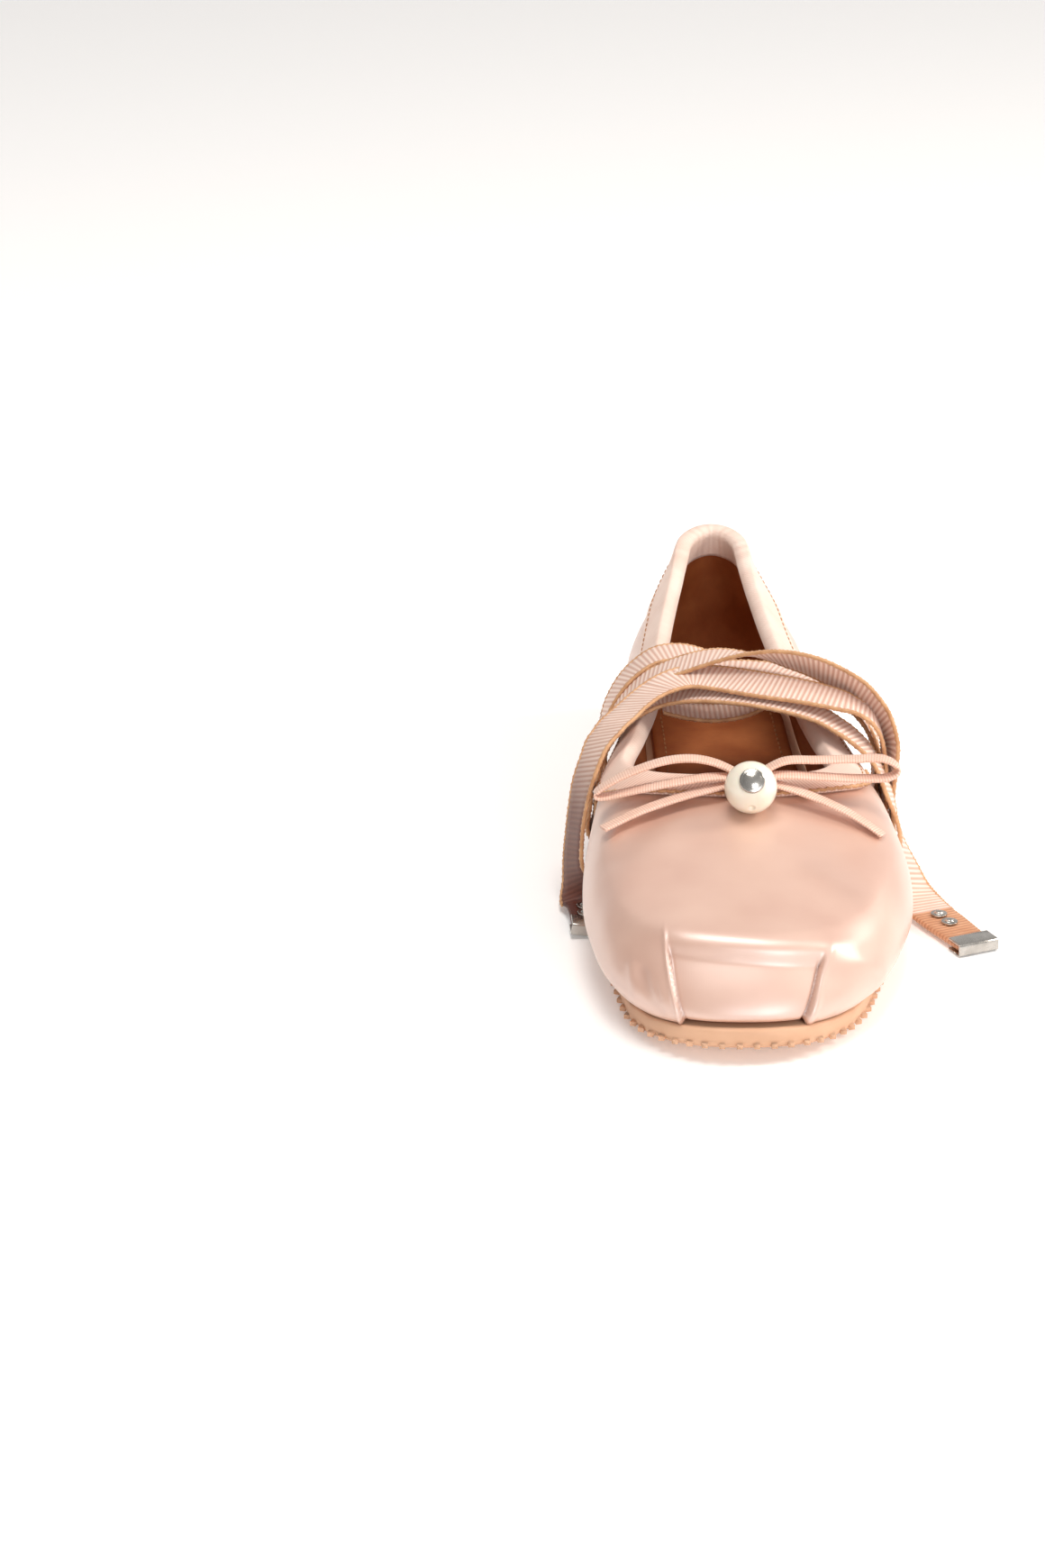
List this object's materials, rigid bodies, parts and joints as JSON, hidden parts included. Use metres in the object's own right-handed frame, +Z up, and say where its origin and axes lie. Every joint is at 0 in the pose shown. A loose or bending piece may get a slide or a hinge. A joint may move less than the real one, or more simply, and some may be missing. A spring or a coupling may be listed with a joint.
{
  "type": "ballet flat",
  "caption": "Low satin slip-on shoe with a pleated square toe, folded collar tape, bead and bow on the vamp, and crossing instep ties that hang at its sides",
  "frame": {"origin": "middle of the bottom face of the bounding box of the standing shoe, measured without the hanging tie ends", "axes": "+Z up, -Y towards the toe, +Y towards the heel, +X towards the outer side of the left foot"},
  "size_m": [0.1127, 0.2464, 0.0577],
  "materials": {
    "satin": "smooth blush satin with soft gathers",
    "ribbed_tape": "fine cross-ribbed tape with tan corded edges",
    "sole": "matt tan sole",
    "lining_leather": "smooth tan leather",
    "bead": "cream pearl lustre",
    "metal": "polished silver"
  },
  "bodies": {
    "root": {"outsole": "sole", "upper": "satin", "insole": "lining_leather", "collar_tape": "ribbed_tape", "bead": "bead", "bead_cap": "metal", "bow": "ribbed_tape", "tie_crossing": "ribbed_tape", "tie_end_inner": "ribbed_tape", "tie_tip_inner": "metal", "tie_rivet_inner_1": "metal", "tie_rivet_inner_2": "metal", "tie_end_outer": "ribbed_tape", "tie_tip_outer": "metal", "tie_rivet_outer_1": "metal", "tie_rivet_outer_2": "metal"}
  },
  "joints": []
}
